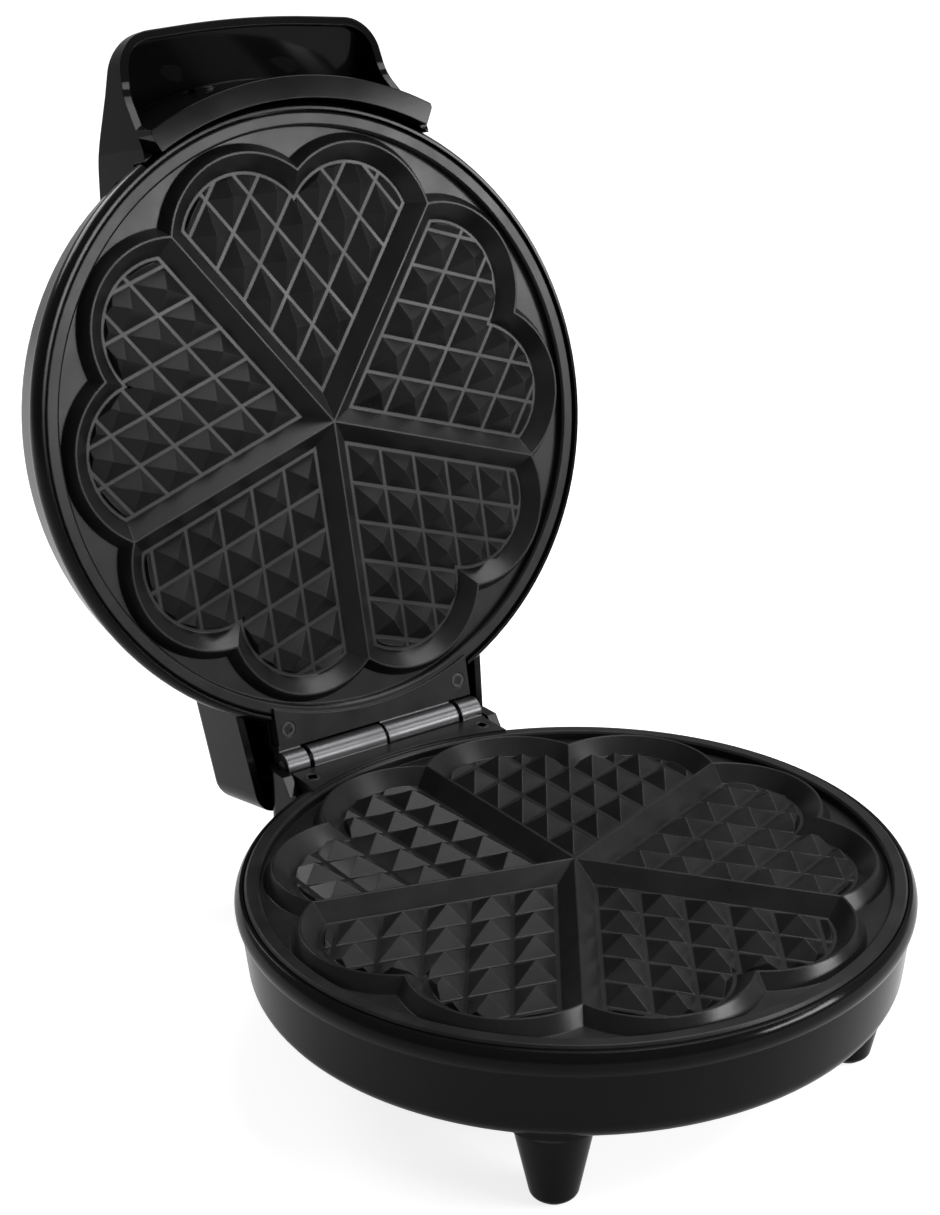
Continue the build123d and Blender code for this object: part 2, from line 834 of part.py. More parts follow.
def dome_section(inset):
    """The rounded shoulder and the low crown, as far as the axis."""
    d = radians(dome_draft)
    start = dome_points(inset)
    turn = 90 - dome_draft - crown_slope
    shoulder = JernArc(start, (-sin(d), cos(d)), dome_shoulder_radius - inset, turn)
    edge = shoulder @ 1
    crown = JernArc(edge, shoulder % 1, edge.X / sin(radians(crown_slope)), crown_slope)
    return shoulder, crown


def dome_solid(inset, low):
    """Everything inside the dome's surface above a height."""
    d = radians(dome_draft)
    shoulder, crown = dome_section(inset)
    start = dome_points(inset)
    foot = (start[0] + (start[1] - low) * tan(d), low)
    edges = [Line((0, low), foot), Line(foot, start), shoulder, crown, Line(crown @ 1, (0, low))]
    return spin(outline_xz(edges))


def lid_rim():
    """The rounded rim band of the lid as a solid."""
    middle = (lid_rim_edge + lid_band) / 2
    band = ThreePointArc(
        (rim_radius - 1.6, lid_rim_edge),
        (rim_radius, middle),
        (wall_top_radius + 0.6, lid_band - 0.4),
    )
    edges = [
        Line((0, lid_rim_edge), band @ 0),
        band,
        Line(band @ 1, (wall_top_radius, lid_band)),
        Line((wall_top_radius, lid_band), (0, lid_band)),
        Line((0, lid_band), (0, lid_rim_edge)),
    ]
    return spin(outline_xz(edges))


def hinge_box(inset, low):
    """The box behind the dome that covers the hinge, shrunk by an inset and reaching down to a height."""
    profile = Polyline(
        (box_front, low),
        (box_rear - inset, low),
        (box_rear - inset, box_top - inset),
        (box_front, box_top - inset - box_rise),
        close=True,
    )
    rear_half = box_half_width - inset
    front_half = rear_half + box_flare * (box_rear - box_front)
    plan = Polyline(
        (front_half, box_front),
        (rear_half, box_rear),
        (-rear_half, box_rear),
        (-front_half, box_front),
        close=True,
    )
    solid = extrude(Plane.YZ * make_face(profile), amount=front_half, both=True)
    solid &= extrude(make_face(plan), amount=box_top)
    solid = fillet(solid.edges().filter_by(Axis.Z), box_corner - inset)
    return fillet(solid.faces().sort_by(Axis.Z)[-1].edges(), box_edge - inset)


def lid_stop_cut():
    """The room the base's rear block needs when the lid leans back on it, drawn in the closed lid."""
    half = box_half_width - wall
    room = block((-half, half), (0, block_rear + running_gap), (-60, -well_depth))
    closing = Pos(0, hinge_y, 0) * Rot(open_angle, 0, 0) * Pos(0, -hinge_y, 0)
    return closing * room


def crown_height(radius, inset):
    """The height of the crown's surface at a distance from the axis."""
    shoulder, crown = dome_section(inset)
    edge = shoulder @ 1
    bend = edge.X / sin(radians(crown_slope))
    top = (crown @ 1).Y
    return top - bend + sqrt(bend**2 - radius**2)


def lid_housing():
    """The upper housing: dome, rim, ledge for the plate and the hinge box, moulded as one shell."""
    inner = block_half_width - ear_thickness
    dome = dome_solid(0, lid_band - 1) + lid_rim()
    shell = dome + hinge_box(0, box_lower_edge)
    shell -= hinge_box(wall, 0) - dome
    seat_y = (block_front, leaf_end() + 0.4)
    shell += block((-inner, inner), seat_y, (leaf_seat_z, leaf_seat_z + leaf_seat_thickness))
    shell -= dome_solid(wall, ledge_z + wall) + rod(2 * ledge_radius, 0, ledge_z + wall + 1)
    shell -= rod(2 * recess_radius, -10, ledge_z)
    shell -= block((-inner, inner), seat_y, (-10, leaf_seat_z))
    shell -= leaf_screw_holes(leaf_seat_z - 1, leaf_seat_z + leaf_seat_thickness + 1)
    shell -= lid_stop_cut()
    for x in (-handle_screw_x, handle_screw_x):
        boss = along_y(handle_screw_head + 2.5, -rim_radius, handle_screw_seat)
        hole = along_y(handle_screw + 0.3, handle_tip_y, handle_screw_seat + 1)
        shell += Pos(x, 0, handle_screw_z) * boss & dome
        shell -= Pos(x, 0, handle_screw_z) * hole
    for x in (-holder_peg_x, holder_peg_x):
        shell += Pos(x, lamp_y, 0) * rod(holder_peg, holder_top, crown_height(hypot(x, lamp_y), wall / 2))
    for x in (-lamp_pitch / 2, lamp_pitch / 2):
        shell -= Pos(x, lamp_y, 0) * rod(lens_diameter + 0.2, holder_top, holder_top + 20)
    return shell


# Handle

def handle_plan():
    """The handle seen from above."""
    half = [
        (handle_root_half, handle_root_y),
        (handle_side_half, handle_side_y),
        (handle_neck_half, handle_neck_y),
        (handle_tip_half, handle_tip_y + handle_tip_bow),
    ]
    other = [(-x, y) for x, y in reversed(half)]
    radii = [handle_rear_corner, 25, 20, handle_tip_corner]
    points = [*half, (0, handle_tip_y), *other]
    return make_face(FilletPolyline(*points, radius=[*radii, 300, *reversed(radii)], close=True))


def handle_side():
    """The handle's outline seen from the side, with its lower edge swept up to the tip."""
    tip = handle_tip_y - 1
    return make_face(
        FilletPolyline(
            (handle_root_y + 1, handle_top),
            (handle_break_y, handle_top),
            (tip, handle_tip_top),
            (tip, handle_tip_bottom),
            (handle_neck_y + 1, handle_lip_bottom),
            (handle_side_y + 1, handle_skirt),
            (handle_root_y + 1, handle_skirt),
            radius=[2, 40, 1.5, 0.8, 12, 5, 2],
            close=True,
        )
    )


def handle_block(plan, low):
    """The handle's plan under its top surface, down to a height."""
    tip = handle_tip_y - 1
    profile = FilletPolyline(
        (handle_root_y + 1, low),
        (handle_root_y + 1, handle_top),
        (handle_break_y, handle_top),
        (tip, handle_tip_top),
        (tip, low),
        radius=[2, 40, 1.5],
    )
    side = make_face([*profile.edges(), Line(profile @ 1, profile @ 0)])
    body = extrude(Plane.YZ * side, amount=2 * handle_root_half, both=True)
    return body & extrude(plan, amount=60, both=True)


def guard():
    """The curved front wall of the handle, which hangs down in front of the plates' edges."""
    wall_low = handle_wall + 1
    profile = Polyline(
        (guard_inner, -guard_drop),
        (guard_outer, -guard_drop),
        (guard_outer + guard_lean, handle_top),
        (guard_outer + guard_lean - handle_wall, handle_top),
        (guard_outer - handle_wall, wall_low),
        (guard_inner, wall_low - 2),
        close=True,
    )
    sector = revolve(Plane.XZ * make_face(profile), axis=Axis.Z, revolution_arc=2 * guard_angle)
    return Rot(0, 0, -90 - guard_angle) * sector


def handle():
    """The hood-shaped handle: a shell open below, its guard, and two bosses for its screws."""
    plan = handle_plan()
    outside = extrude(plan, amount=60, both=True)
    outside &= extrude(Plane.YZ * handle_side(), amount=2 * handle_root_half, both=True)
    inner_plan = offset(plan, -handle_wall)
    inside = Pos(0, 0, -handle_wall) * handle_block(inner_plan, -40)
    hood = outside - inside
    room = handle_block(plan, -guard_drop - 5)
    hood += guard() & room
    for x in (-handle_screw_x, handle_screw_x):
        boss = Pos(x, 0, handle_screw_z) * along_y(handle_screw_head + 2.5, -guard_outer, -ledge_radius)
        hood += boss & room
    hood -= dome_solid(-seat_gap, lid_band - 1)
    hood -= rod(2 * (rim_radius + seat_gap), -10, lid_band + seat_gap)
    for x in (-handle_screw_x, handle_screw_x):
        hood -= Pos(x, 0, handle_screw_z) * along_y(handle_screw + 2 * slip, -guard_outer + 1.5, 0)
    return hood


def handle_screws():
    """Two screws from inside the dome into the handle's bosses."""
    tip = -guard_outer + 2
    seat = handle_screw_seat
    screw = along_y(handle_screw, tip, seat) + along_y(handle_screw_head, seat, seat + 2.2)
    return group([Pos(x, 0, handle_screw_z) * screw for x in (-handle_screw_x, handle_screw_x)])


# Lamps and wiring in the lid

def lamp_holder():
    """The block under the crown that carries both lamps."""
    body = block(
        (-holder_peg_x - 4, holder_peg_x + 4),
        (lamp_y - holder_depth / 2, lamp_y + holder_depth / 2),
        (holder_top - holder_height, holder_top),
    )
    bore = rod(neon_diameter + 0.2, holder_top - holder_height + 1.5, holder_top + 1)
    for x in (-lamp_pitch / 2, lamp_pitch / 2):
        body -= Pos(x, lamp_y, 0) * bore
    return body


def neon_lamps():
    """Two small glass lamps that stand in the holder."""
    low = holder_top - holder_height + 1.5
    lamp = rod(neon_diameter, low, low + neon_length)
    lamp += Pos(0, 0, low + neon_length) * Sphere(neon_diameter / 2)
    return group([Pos(x, lamp_y, 0) * lamp for x in (-lamp_pitch / 2, lamp_pitch / 2)])


def lamp_lens(x):
    """A flanged window that shows one lamp through the crown."""
    reach = hypot(x, lamp_y)
    top = crown_height(reach, 0) + 0.6
    seat = crown_height(reach + lens_flange / 2, wall) - seat_gap
    lens = rod(lens_diameter, seat - 1.2, top) + rod(lens_flange, seat - 1.2, seat)
    lens = fillet(lens.edges().filter_by(GeomType.CIRCLE).group_by(Axis.Z)[-1], 0.5)
    return Pos(x, lamp_y, 0) * lens


def fuse_height():
    """The height of the fuse's centre line, just clear of the reflector."""
    return -boss_depth - reflector_sheet - plate_offset - seat_gap - fuse_diameter / 2


def thermal_fuse():
    """The sleeve with the one-shot fuse, lying on the reflector."""
    x = terminal_places()[1].X
    return Pos(x, 0, fuse_height()) * along_y(fuse_diameter, fuse_y, fuse_y + fuse_length)


def lid_live_lead():
    """From the element's pin to the rear tab of the thermostat."""
    place = terminal_places()[0]
    tab_z = thermostat_tab_height() - plate_offset
    route = [
        (place.X, place.Y - sleeve_diameter / 2 + 0.3, lead_height()),
        (place.X, place.Y - lead_straight, lead_height()),
        (0, thermostat_tab_y + 12, tab_z),
        (0, thermostat_tab_y, tab_z),
    ]
    return lead(route, 6) + pin_sleeve(place)


def lid_lamp_lead():
    """From the front tab of the thermostat to the lamp holder."""
    tab_z = thermostat_tab_height() - plate_offset
    end = lamp_y + holder_depth / 2
    route = [
        (0, -thermostat_tab_y, tab_z),
        (0, -thermostat_tab_y - 9, tab_z),
        (0, end + 10, -holder_top + holder_height / 2),
        (0, end, -holder_top + holder_height / 2),
    ]
    return lead(route, 5)


def lid_neutral_lead():
    """From the element's other pin to the fuse, and on to the lamp holder."""
    place = terminal_places()[1]
    first = [
        (place.X, place.Y - sleeve_diameter / 2 + 0.3, lead_height()),
        (place.X, place.Y - 9, lead_height()),
        (place.X, fuse_y + fuse_length + 7, fuse_height()),
        (place.X, fuse_y + fuse_length, fuse_height()),
    ]
    end = lamp_y + holder_depth / 2
    second = [
        (place.X, fuse_y, fuse_height()),
        (place.X, fuse_y - 10, fuse_height()),
        (place.X, end + 10, -holder_top + holder_height / 2),
        (place.X, end, -holder_top + holder_height / 2),
    ]
    return group([lead(first, 5) + pin_sleeve(place), lead(second, 8)])


def over(shape):
    """Place wiring, drawn under a plate from the meeting plane, in the lid."""
    return in_lid(Rot(0, 180, 0) * shape)


shapes = {}

plate = grid_plate()
shapes["base_housing"] = in_base(base_housing())
shapes["foot_pads"] = in_base(foot_pads())
shapes["cord_gland"] = in_base(cord_gland())
shapes["terminal_block"] = in_base(terminal_block())
shapes["base_live_lead"] = in_base(base_power_lead(0))
shapes["base_neutral_lead"] = in_base(base_power_lead(1))
shapes["base_earth_lead"] = in_base(base_earth_lead())
shapes["hinge_pin"] = in_base(hinge_pin())

heated_plate = {
    "plate": plate,
    "heating_element": heating_element(),
    "element_insulators": element_insulators(),
    "element_pins": element_pins(),
    "element_clamps": element_clamps(),
    "clamp_screws": clamp_screws(),
    "reflector": reflector(),
    "reflector_screws": reflector_screws(),
    "leaf_screws": leaf_screws(),
}
for name, shape in heated_plate.items():
    shapes[f"lower_{name}"] = lower(shape)
    shapes[f"upper_{name}"] = upper(shape)

shapes["lid_housing"] = in_lid(lid_housing())
shapes["handle"] = in_lid(handle())
shapes["handle_screws"] = in_lid(handle_screws())
shapes["thermostat"] = upper(thermostat())
shapes["thermostat_screws"] = upper(thermostat_screws())
shapes["thermal_fuse"] = over(thermal_fuse())
shapes["lid_live_lead"] = over(lid_live_lead())
shapes["lid_neutral_lead"] = over(lid_neutral_lead())
shapes["lid_lamp_lead"] = over(lid_lamp_lead())
shapes["lamp_holder"] = in_lid(lamp_holder())
shapes["neon_lamps"] = in_lid(neon_lamps())
shapes["power_lens"] = in_lid(lamp_lens(-lamp_pitch / 2))
shapes["ready_lens"] = in_lid(lamp_lens(lamp_pitch / 2))

os.makedirs("parts", exist_ok=True)
front = min(shape.bounding_box().min.Y for shape in shapes.values())
rear = max(shape.bounding_box().max.Y for shape in shapes.values())
for name, shape in shapes.items():
    export_step(Pos(0, -(front + rear) / 2, 0) * shape, f"parts/{name}.step")
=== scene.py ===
import json
from math import cos, hypot, radians, sin

import bmesh
import bpy
from mathutils import Matrix, Vector


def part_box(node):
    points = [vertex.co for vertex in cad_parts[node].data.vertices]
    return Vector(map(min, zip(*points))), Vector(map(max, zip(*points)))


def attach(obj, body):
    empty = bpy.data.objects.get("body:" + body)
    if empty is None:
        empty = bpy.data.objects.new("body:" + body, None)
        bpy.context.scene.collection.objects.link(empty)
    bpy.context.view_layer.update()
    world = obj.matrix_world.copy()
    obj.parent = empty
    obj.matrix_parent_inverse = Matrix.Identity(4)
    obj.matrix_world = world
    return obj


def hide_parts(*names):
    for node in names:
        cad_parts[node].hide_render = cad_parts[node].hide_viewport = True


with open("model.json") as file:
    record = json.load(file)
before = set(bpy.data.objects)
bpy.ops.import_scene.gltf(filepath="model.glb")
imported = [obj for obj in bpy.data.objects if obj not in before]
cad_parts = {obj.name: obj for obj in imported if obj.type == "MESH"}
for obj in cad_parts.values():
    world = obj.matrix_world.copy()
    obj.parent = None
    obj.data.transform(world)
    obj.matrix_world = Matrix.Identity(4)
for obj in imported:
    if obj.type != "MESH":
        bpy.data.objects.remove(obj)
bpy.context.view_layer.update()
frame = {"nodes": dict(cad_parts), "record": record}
scene = bpy.context.scene


# Camera
# A short telephoto view from the front left and a little above, with the lid open.
# Its place and lens come from fitting the pattern of both grid plates to the picture.

camera_place = (-0.31514, -0.44900, 0.33570)
yaw, pitch, roll = radians(36.113), radians(22.919), radians(-0.568)
forward = Vector((sin(yaw) * cos(pitch), cos(yaw) * cos(pitch), -sin(pitch)))
level = Vector((cos(yaw), -sin(yaw), 0))
across = level * cos(roll) + level.cross(forward) * sin(roll)
axes = Matrix((across, across.cross(forward), -forward)).transposed()
camera = bpy.data.objects.new("camera", bpy.data.cameras.new("camera"))
camera.matrix_world = Matrix.Translation(camera_place) @ axes.to_4x4()
camera.data.lens = 58.676
camera.data.shift_x = -0.048735
camera.data.shift_y = 0.054123
camera.data.clip_start = 0.02
camera.data.clip_end = 100
scene.collection.objects.link(camera)
scene.camera = camera


# Gloss black housings
# The bowl under the lower plate and the dome over the upper one are glossy heat-proof mouldings.
# Their skin is polished by the mould, with a faint ripple where the walls have shrunk.

class Value:
    """A shader socket on which arithmetic adds Math nodes."""

    def __init__(self, finish, socket):
        self.finish = finish
        self.socket = socket

    def maths(self, operation, *others):
        """A Math node with this value in its first socket and the others in the next."""
        sockets = dict(enumerate((self, *others)))
        return self.finish.node("ShaderNodeMath", {"operation": operation}, sockets)

    def __add__(self, other):
        return self.maths("ADD", other)

    def __mul__(self, other):
        return self.maths("MULTIPLY", other)

    __radd__ = __add__
    __rmul__ = __mul__


class Finish:
    """The nodes that shade a surface, in a material, or the surroundings, in a world."""

    def __init__(self, name, kind="materials"):
        self.data = getattr(bpy.data, kind).new(name)
        self.data.use_nodes = True
        self.tree = self.data.node_tree
        self.tree.nodes.clear()
        self.place = self.node("ShaderNodeTexCoord", {}, {}, "Object")

    def node(self, kind, settings, sockets, out=0):
        """Add a node: settings first, then a value or a link for each socket."""
        node = self.tree.nodes.new(kind)
        for key, setting in settings.items():
            setattr(node, key, setting)
        for key, value in sockets.items():
            if isinstance(value, Value):
                self.tree.links.new(value.socket, node.inputs[key])
            elif isinstance(value, tuple) and len(node.inputs[key].default_value) == 4:
                node.inputs[key].default_value = (*value, 1)
            else:
                node.inputs[key].default_value = value
        return Value(self, node.outputs[out]) if node.outputs else None

    def mapping(self, scale, location=(0, 0, 0)):
        """Places in the part, scaled about its origin and then moved."""
        sockets = {"Vector": self.place, "Location": location, "Scale": scale}
        return self.node("ShaderNodeMapping", {}, sockets)

    def length(self, vector):
        """The length of a vector."""
        return self.node("ShaderNodeVectorMath", {"operation": "LENGTH"}, {0: vector}, "Value")

    def noise(self, scale, detail, place=None):
        """Cloudy noise between 0 and 1; scale is in features to a metre."""
        sockets = {"Vector": place or self.place, "Scale": scale, "Detail": detail}
        return self.node("ShaderNodeTexNoise", {}, sockets)

    def waves(self, direction, scale, distortion=0.0):
        """Bands between 0 and 1 that follow each other in a direction."""
        sockets = {"Vector": self.place, "Scale": scale, "Distortion": distortion}
        return self.node("ShaderNodeTexWave", {"bands_direction": direction}, sockets)

    def spread(self, value, low, high):
        """Stretch a value so that low becomes 0 and high becomes 1, without going past them."""
        sockets = {"Value": value, "From Min": low, "From Max": high}
        return self.node("ShaderNodeMapRange", {}, sockets)

    def mix(self, factor, first, second):
        """The first colour where the factor is 0, the second where it is 1."""
        sockets = {0: factor, 6: first, 7: second}
        return self.node("ShaderNodeMix", {"data_type": "RGBA"}, sockets, 2)

    def bump(self, height, distance, under=None):
        """A bump whose height of 1 stands that many metres proud."""
        sockets = {"Height": height, "Distance": distance}
        if under:
            sockets["Normal"] = under
        return self.node("ShaderNodeBump", {}, sockets)

    def round_edges(self, radius):
        """The normal of the surface with its sharp edges rounded."""
        return self.node("ShaderNodeBevel", {"samples": 4}, {"Radius": radius})

    def surface(self, **sockets):
        """Finish with a Principled shader, its sockets named with _ for spaces."""
        named = {key.replace("_", " "): value for key, value in sockets.items()}
        shader = self.node("ShaderNodeBsdfPrincipled", {}, named)
        self.node("ShaderNodeOutputMaterial", {}, {"Surface": shader})
        return self.data


def dress(material, *nodes):
    """Give CAD nodes a material."""
    for name in nodes:
        mesh = frame["nodes"][name].data
        mesh.materials.clear()
        mesh.materials.append(material)


finish = Finish("gloss_black")
ripple = finish.noise(22, 1)
haze = finish.noise(160, 4)
dress(
    finish.surface(
        Base_Color=finish.mix(haze, (0.0022, 0.0022, 0.0024), (0.004, 0.004, 0.0043)),
        Roughness=0.11 + 0.04 * finish.spread(haze, 0.3, 0.7),
        Specular_IOR_Level=0.10,
        Normal=finish.bump(ripple, 0.0001, under=finish.round_edges(0.0005)),
    ),
    "base_housing",
    "lid_housing",
)

# The middle of the dome, where all its facets meet, is shaded as smoothly as the rest.
# Facets too narrow to shade are joined there; swing turns the closed lid to its open place.

hinge_to_middle = 0.1065
middle_radius = 0.0002

lid_hinge = frame["record"]["behaviour"]["joints"][0]
closing = radians(lid_hinge["range_deg"][1])
hinge = Matrix.Translation(lid_hinge["pos_m"])
swing = hinge @ Matrix.Rotation(-closing, 4, "X") @ hinge.inverted()
dome = frame["nodes"]["lid_housing"]
middle = dome.vertex_groups.new(name="middle")
for vert in dome.data.vertices:
    closed = swing.inverted() @ vert.co
    if hypot(closed.x, closed.y - lid_hinge["pos_m"][1] + hinge_to_middle) < middle_radius:
        middle.add([vert.index], 1, "REPLACE")
join = dome.modifiers.new("join_middle", "WELD")
join.vertex_group = "middle"
join.merge_threshold = 0.00001
even = dome.modifiers.new("even_middle", "WEIGHTED_NORMAL")
even.vertex_group = "middle"


# Handle
# A hood of the same black moulding with a finer, slightly duller skin where it is held.
# It is screwed to the dome from inside, and its curved front wall hangs before the plates' edges.

finish = Finish("satin_black")
grain = finish.noise(2600, 2)
rub = finish.noise(45, 3)
dress(
    finish.surface(
        Base_Color=finish.mix(rub, (0.0020, 0.0020, 0.0022), (0.0042, 0.0042, 0.0045)),
        Roughness=0.075 + 0.03 * finish.spread(rub, 0.3, 0.7),
        Specular_IOR_Level=0.08,
        Normal=finish.bump(grain, 0.000002, under=finish.round_edges(0.0005)),
    ),
    "handle",
)


# Grid plates
# Die-cast aluminium with five heart moulds each, sprayed with a dark grey non-stick coating.
# The coating is semi-matt, with the fine speckle of its spray.
# The barrels round the hinge pin, 4.8 mm in radius, are burnished by turning.

burnished_to, coated_from = 0.0050, 0.0053
to_axis = (0, -lid_hinge["pos_m"][1], -lid_hinge["pos_m"][2])

finish = Finish("nonstick_coating")
speckle = finish.noise(3200, 2)
mottle = finish.noise(70, 4)
patches = finish.spread(mottle, 0.3, 0.7)
flakes = finish.spread(finish.noise(5200, 1), 0.62, 0.78)
coat = finish.mix(patches, (0.006, 0.006, 0.0062), (0.0105, 0.0105, 0.0108))
flecked_coat = finish.mix(0.25 * flakes, coat, (0.07, 0.07, 0.073))
from_axis = finish.length(finish.mapping((0, 1, 1), to_axis))
barrel = finish.spread(from_axis, coated_from, burnished_to)
dress(
    finish.surface(
        Base_Color=finish.mix(barrel, flecked_coat, (0.055, 0.055, 0.057)),
        Metallic=0.9 * barrel,
        Roughness=0.27 + 0.09 * patches,
        Specular_IOR_Level=0.17,
        Normal=finish.bump(speckle, 0.000014, under=finish.round_edges(0.0005)),
    ),
    "lower_plate",
    "upper_plate",
)


# Rubber
# Moulded pads under the legs, and the grommet in the floor of the hinge block.
# Matt black, a little greyer where they have picked up dust.

finish = Finish("rubber")
dust = finish.noise(300, 5)
dusty = finish.spread(dust, 0.4, 0.7)
dress(
    finish.surface(
        Base_Color=finish.mix(dusty, (0.014, 0.014, 0.014), (0.040, 0.039, 0.037)),
        Roughness=0.72 + 0.16 * dust,
        Normal=finish.bump(finish.noise(2200, 2), 0.00004),
    ),
    "foot_pads",
    "cord_gland",
)


# Plated steel
# The hinge pin, the screws inside and the element's pins and straps are zinc plated steel.
# Turning has left faint lines round them, and the plating clouds in patches.

finish = Finish("zinc_plate")
cloud = finish.noise(420, 3)
dress(
    finish.surface(
        Base_Color=finish.mix(cloud, (0.42, 0.42, 0.43), (0.60, 0.60, 0.60)),
        Metallic=1.0,
        Roughness=0.24 + 0.18 * cloud,
        Normal=finish.bump(finish.waves("Z", 900, 3), 0.00001),
    ),
    "hinge_pin",
    "handle_screws",
    "thermostat_screws",
    "lower_clamp_screws",
    "upper_clamp_screws",
    "lower_reflector_screws",
    "upper_reflector_screws",
    "lower_element_pins",
    "upper_element_pins",
    "lower_element_clamps",
    "upper_element_clamps",
)


# Leaf screws
# Two countersunk screws with cross recesses hold each hinge leaf to its housing.
# They are blackened steel, so that they hardly show against the coating.

leaf_screw_half = 0.0333
leaf_screw_turn = 0.4


def rim_edges(screw):
    """The open edges of a screw in the making, with those of a loose ring."""
    return [edge for edge in screw.edges if edge.is_boundary or edge.is_wire]


def vertices(geometry):
    """The vertices among the elements that an operator returns."""
    return [item for item in geometry if isinstance(item, bmesh.types.BMVert)]


def cross_screw(head=0.0052, shank=0.003, length=0.011, edge_break=0.0002):
    """One such screw, the top of its head in the XY plane."""
    arm_length = head * 0.27
    recess_depth = head * 0.2
    screw = bmesh.new()
    bmesh.ops.create_grid(screw, x_segments=6, y_segments=6, size=arm_length)
    recess = []
    for face in screw.faces:
        centre = face.calc_center_median()
        if min(abs(centre.x), abs(centre.y)) < arm_length / 3:
            recess.append(face)
    bmesh.ops.create_circle(screw, segments=24, radius=head / 2 - edge_break)
    bmesh.ops.bridge_loops(screw, edges=rim_edges(screw))
    sunk = vertices(bmesh.ops.extrude_face_region(screw, geom=recess)["geom"])
    bmesh.ops.scale(screw, verts=sunk, vec=(0.5, 0.5, 1))
    bmesh.ops.translate(screw, verts=sunk, vec=(0, 0, -recess_depth))
    cone = (head - shank) / 2
    steps = (
        (1 / (1 - 2 * edge_break / head), edge_break),
        (shank / head, cone),
        (1, length - cone - edge_break),
    )
    for width, drop in steps:
        wall = bmesh.ops.extrude_edge_only(screw, edges=rim_edges(screw))["geom"]
        low = vertices(wall)
        bmesh.ops.scale(screw, verts=low, vec=(width, width, 1))
        bmesh.ops.translate(screw, verts=low, vec=(0, 0, -drop))
    bmesh.ops.holes_fill(screw, edges=rim_edges(screw), sides=0)
    bmesh.ops.recalc_face_normals(screw, faces=screw.faces)
    return screw


finish = Finish("blackened_steel")
oxide = finish.noise(900, 3)
black_steel = finish.surface(
    Base_Color=finish.mix(oxide, (0.006, 0.006, 0.006), (0.016, 0.015, 0.015)),
    Roughness=0.34 + 0.16 * oxide,
    Specular_IOR_Level=0.40,
    Normal=finish.bump(finish.noise(2600, 2), 0.00001),
)
low_corner, high_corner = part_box("lower_leaf_screws")
leaf_y = (low_corner[1] + high_corner[1]) / 2
lower_head = Matrix.Translation((0, leaf_y, high_corner[2]))
upper_head_z = 2 * lid_hinge["pos_m"][2] - high_corner[2]
upper_head = Matrix.Translation((0, leaf_y, upper_head_z)) @ Matrix.Rotation(radians(180), 4, "Y")
leaf_places = {
    "lower_leaf_screws": ("base", lower_head),
    "upper_leaf_screws": ("lid", swing @ upper_head),
}
for node, (body, place) in leaf_places.items():
    pair = bmesh.new()
    for side in (-1, 1):
        screw = cross_screw()
        moved = Matrix.Translation((side * leaf_screw_half, 0, 0))
        turned = Matrix.Rotation(side * leaf_screw_turn, 4, "Z")
        screw.transform(place @ moved @ turned)
        one = bpy.data.meshes.new("one_screw")
        screw.to_mesh(one)
        screw.free()
        pair.from_mesh(one)
        bpy.data.meshes.remove(one)
    mesh = bpy.data.meshes.new("black_" + node)
    pair.to_mesh(mesh)
    pair.free()
    mesh.materials.append(black_steel)
    piece = bpy.data.objects.new("black_" + node, mesh)
    scene.collection.objects.link(piece)
    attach(piece, body)
    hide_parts(node)


# Heating elements
# Each is a steel tube packed round a resistance wire, bent to a horseshoe behind its plate.
# Heat has turned the sheath a dull brown grey, in patches.

finish = Finish("element_sheath")
scorch = finish.noise(110, 4)
burnt = finish.spread(scorch, 0.35, 0.65)
dress(
    finish.surface(
        Base_Color=finish.mix(burnt, (0.10, 0.085, 0.075), (0.26, 0.24, 0.23)),
        Metallic=0.8,
        Roughness=0.42 + 0.2 * scorch,
        Normal=finish.bump(finish.noise(1500, 3), 0.00003),
    ),
    "lower_heating_element",
    "upper_heating_element",
)


# Reflectors
# Shallow pans pressed from aluminised sheet, which stand on the plates' bosses.
# Rolling has drawn fine lines along the sheet.

finish = Finish("aluminised_sheet")
drawn = finish.noise(1, 3, finish.mapping((40, 1800, 1800)))
dress(
    finish.surface(
        Base_Color=finish.mix(drawn, (0.55, 0.55, 0.56), (0.72, 0.72, 0.72)),
        Metallic=1.0,
        Roughness=0.30 + 0.16 * drawn,
        Normal=finish.bump(drawn, 0.00001),
    ),
    "lower_reflector",
    "upper_reflector",
)


# Ceramic beads
# Unglazed white beads that keep the elements' terminal pins off their sheaths.

finish = Finish("bead_ceramic")
pores = finish.noise(1800, 3)
dress(
    finish.surface(
        Base_Color=finish.mix(pores, (0.62, 0.59, 0.52), (0.78, 0.76, 0.70)),
        Roughness=0.6 + 0.2 * pores,
        Normal=finish.bump(pores, 0.00004),
    ),
    "lower_element_insulators",
    "upper_element_insulators",
)


# Terminal block and lamp holder
# Off-white moulded insulators that yellow a little with heat.

finish = Finish("insulator_moulding")
aged = finish.noise(150, 3)
dress(
    finish.surface(
        Base_Color=finish.mix(aged, (0.66, 0.64, 0.57), (0.74, 0.72, 0.66)),
        Roughness=0.42 + 0.12 * aged,
        Normal=finish.bump(finish.noise(1600, 2), 0.00002),
    ),
    "terminal_block",
    "lamp_holder",
)


# Thermostat
# A snap disc under a metal flange, in a dark phenolic body.

finish = Finish("phenolic")
flecks = finish.noise(1400, 4)
dress(
    finish.surface(
        Base_Color=finish.mix(flecks, (0.030, 0.022, 0.018), (0.055, 0.042, 0.034)),
        Roughness=0.36 + 0.14 * flecks,
        Normal=finish.bump(flecks, 0.00002),
    ),
    "thermostat",
)


# Fuse sleeve
# A woven glass-fibre sleeve over the one-shot fuse, with its braid crossing round it.

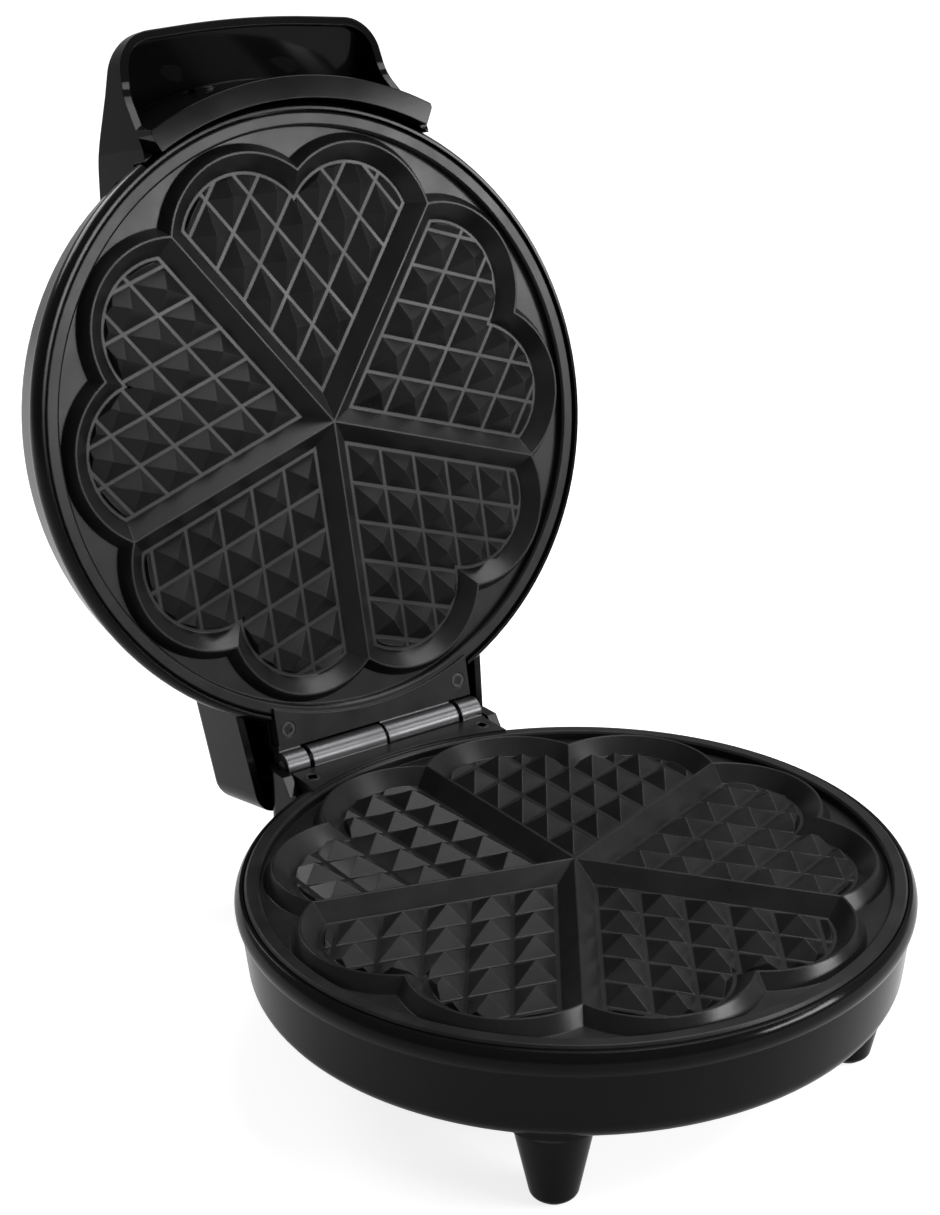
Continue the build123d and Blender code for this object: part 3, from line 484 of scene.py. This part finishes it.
finish = Finish("glass_sleeve")
braid = finish.waves("DIAGONAL", 700, 1)
dress(
    finish.surface(
        Base_Color=finish.mix(braid, (0.60, 0.58, 0.52), (0.80, 0.79, 0.74)),
        Roughness=0.7 + 0.15 * braid,
        Normal=finish.bump(braid, 0.00015),
    ),
    "thermal_fuse",
)


# Leads
# Silicone insulated copper, each colour for its own use.
# Brown is live, blue is neutral, and green with a yellow stripe is earth.

def silicone(name, dark, light, stripe=None):
    """A soft satin skin between two shades, with a stripe along it where it has one."""
    lead = Finish(name)
    tone = lead.noise(260, 3)
    colour = lead.mix(tone, dark, light)
    if stripe:
        bands = lead.spread(lead.waves("X", 190), 0.45, 0.55)
        colour = lead.mix(bands, colour, stripe)
    return lead.surface(
        Base_Color=colour,
        Roughness=0.44 + 0.14 * tone,
        Normal=lead.bump(lead.noise(2400, 2), 0.00001),
    )


brown = silicone("brown_lead", (0.13, 0.045, 0.018), (0.19, 0.07, 0.03))
blue = silicone("blue_lead", (0.03, 0.10, 0.38), (0.05, 0.15, 0.48))
earth = silicone("earth_lead", (0.06, 0.26, 0.05), (0.09, 0.33, 0.07), (0.72, 0.62, 0.06))
dress(brown, "base_live_lead", "lid_live_lead", "lid_lamp_lead")
dress(blue, "base_neutral_lead", "lid_neutral_lead")
dress(earth, "base_earth_lead")


# Lamps
# Two small neon lamps stand in the holder, each under its own window in the crown.
# The windows are clear coloured mouldings, red for power and green for ready.

finish = Finish("neon_glass")
dress(
    finish.surface(
        Base_Color=finish.mix(finish.noise(500, 2), (0.85, 0.55, 0.38), (0.92, 0.68, 0.50)),
        Roughness=0.08,
        Transmission_Weight=0.6,
        IOR=1.5,
    ),
    "neon_lamps",
)


def lens(name, dark, light):
    """A moulded window: clear coloured plastic with its light-spreading pips underneath."""
    window = Finish(name)
    depth = window.noise(350, 2)
    return window.surface(
        Base_Color=window.mix(depth, dark, light),
        Roughness=0.10 + 0.08 * depth,
        Transmission_Weight=0.35,
        IOR=1.49,
        Normal=window.bump(window.noise(900, 1), 0.00002),
    )


dress(lens("red_window", (0.42, 0.012, 0.008), (0.60, 0.03, 0.02)), "power_lens")
dress(lens("green_window", (0.02, 0.30, 0.06), (0.05, 0.45, 0.10)), "ready_lens")


# Floor and light
# A plain white floor that runs past the view and keeps the maker's soft shadow.
# Soft boxes stand low at the front right, above that, overhead and behind at the left.

floor_half = 30
white = (1.0, 1.0, 1.0)

grid = bmesh.new()
bmesh.ops.create_grid(grid, x_segments=1, y_segments=1, size=floor_half)
floor_mesh = bpy.data.meshes.new("floor")
grid.to_mesh(floor_mesh)
grid.free()
floor = bpy.data.objects.new("floor", floor_mesh)
scene.collection.objects.link(floor)


def seen(finish):
    """1 where the camera sees the surround directly or through glass, less in reflections."""
    camera_ray = finish.node("ShaderNodeLightPath", {}, {}, "Is Camera Ray")
    glossy_ray = finish.node("ShaderNodeLightPath", {}, {}, "Is Glossy Ray")
    clear_ray = finish.node("ShaderNodeLightPath", {}, {}, "Is Transmission Ray")
    return (camera_ray + clear_ray + 0.35 * glossy_ray).maths("MINIMUM", 1.0)


finish = Finish("floor_paper")
away = finish.spread(finish.length(finish.place), 0.25, 1.1)
brightness = seen(finish) * (0.82 + 0.18 * away)
paper = finish.node("ShaderNodeBsdfDiffuse", {}, {"Color": (0.45, 0.45, 0.45)})
glow = finish.node("ShaderNodeEmission", {}, {"Color": white, "Strength": brightness})
both = finish.node("ShaderNodeAddShader", {}, {0: paper, 1: glow})
finish.node("ShaderNodeOutputMaterial", {}, {"Surface": both})
floor_mesh.materials.append(finish.data)

finish = Finish("surround", "worlds")
brightness = seen(finish).maths("MAXIMUM", 0.25)
sky = finish.node("ShaderNodeBackground", {}, {"Color": white, "Strength": brightness})
finish.node("ShaderNodeOutputWorld", {}, {"Surface": sky})
scene.world = finish.data


def soft_light(name, place, target, width, height, watts):
    """A soft box that faces a point on the maker."""
    lamp = bpy.data.lights.new(name, "AREA")
    lamp.shape = "RECTANGLE"
    lamp.size = width
    lamp.size_y = height
    lamp.energy = watts
    light = bpy.data.objects.new(name, lamp)
    aim = (Vector(target) - Vector(place)).to_track_quat("-Z", "Y")
    light.matrix_world = Matrix.Translation(place) @ aim.to_matrix().to_4x4()
    scene.collection.objects.link(light)


soft_light("key", (0.71, -1.10, 0.43), (0.0, 0.1, 0.26), 0.62, 0.22, 13)
soft_light("upper", (0.75, -0.90, 1.10), (0.0, 0.07, 0.06), 0.50, 0.40, 9)
soft_light("overhead", (0.6, 0.1, 1.6), (0.0, 0.0, 0.1), 1.0, 1.0, 26)
soft_light("rear", (-0.50, 1.50, 1.10), (0.0, 0.1, 0.12), 0.9, 0.5, 11)

scene.view_settings.view_transform = "Standard"
